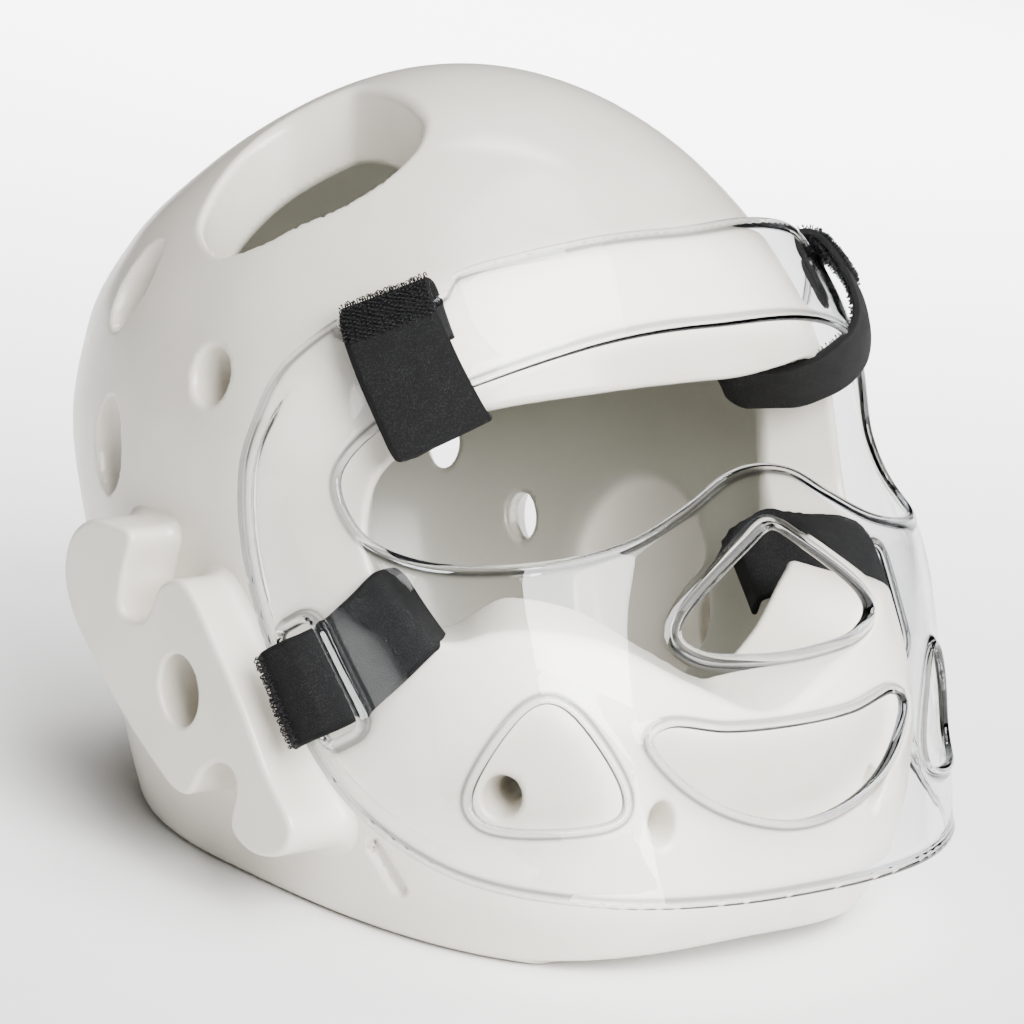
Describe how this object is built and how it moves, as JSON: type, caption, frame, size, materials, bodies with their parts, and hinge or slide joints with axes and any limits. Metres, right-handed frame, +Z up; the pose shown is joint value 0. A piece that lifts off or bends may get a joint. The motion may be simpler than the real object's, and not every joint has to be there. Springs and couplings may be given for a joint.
{
  "type": "sparring headgear",
  "caption": "Full-head dipped-foam sparring headgear with ear guards and a closed chin, and a clear face shield with eye, nose, mouth and cheek openings tied on by hook-and-loop straps.",
  "frame": {"origin": "on the floor under the middle of the overall box", "axes": "+Z up from the bottom rim that it rests on, the face looks along -Y, the wearer's left is +X"},
  "size_m": [0.248, 0.3, 0.2299],
  "materials": {
    "foam": "satin vinyl dip over closed-cell foam, off-white",
    "clear_sheet": "clear formed polycarbonate, polished",
    "webbing": "black hook-and-loop webbing"
  },
  "bodies": {
    "root": {"foam_shell": "foam", "face_shield": "clear_sheet", "ear_guard_right": "foam", "brow_strap_right": "webbing", "cheek_strap_right": "webbing", "ear_guard_left": "foam", "brow_strap_left": "webbing", "cheek_strap_left": "webbing"}
  },
  "joints": []
}
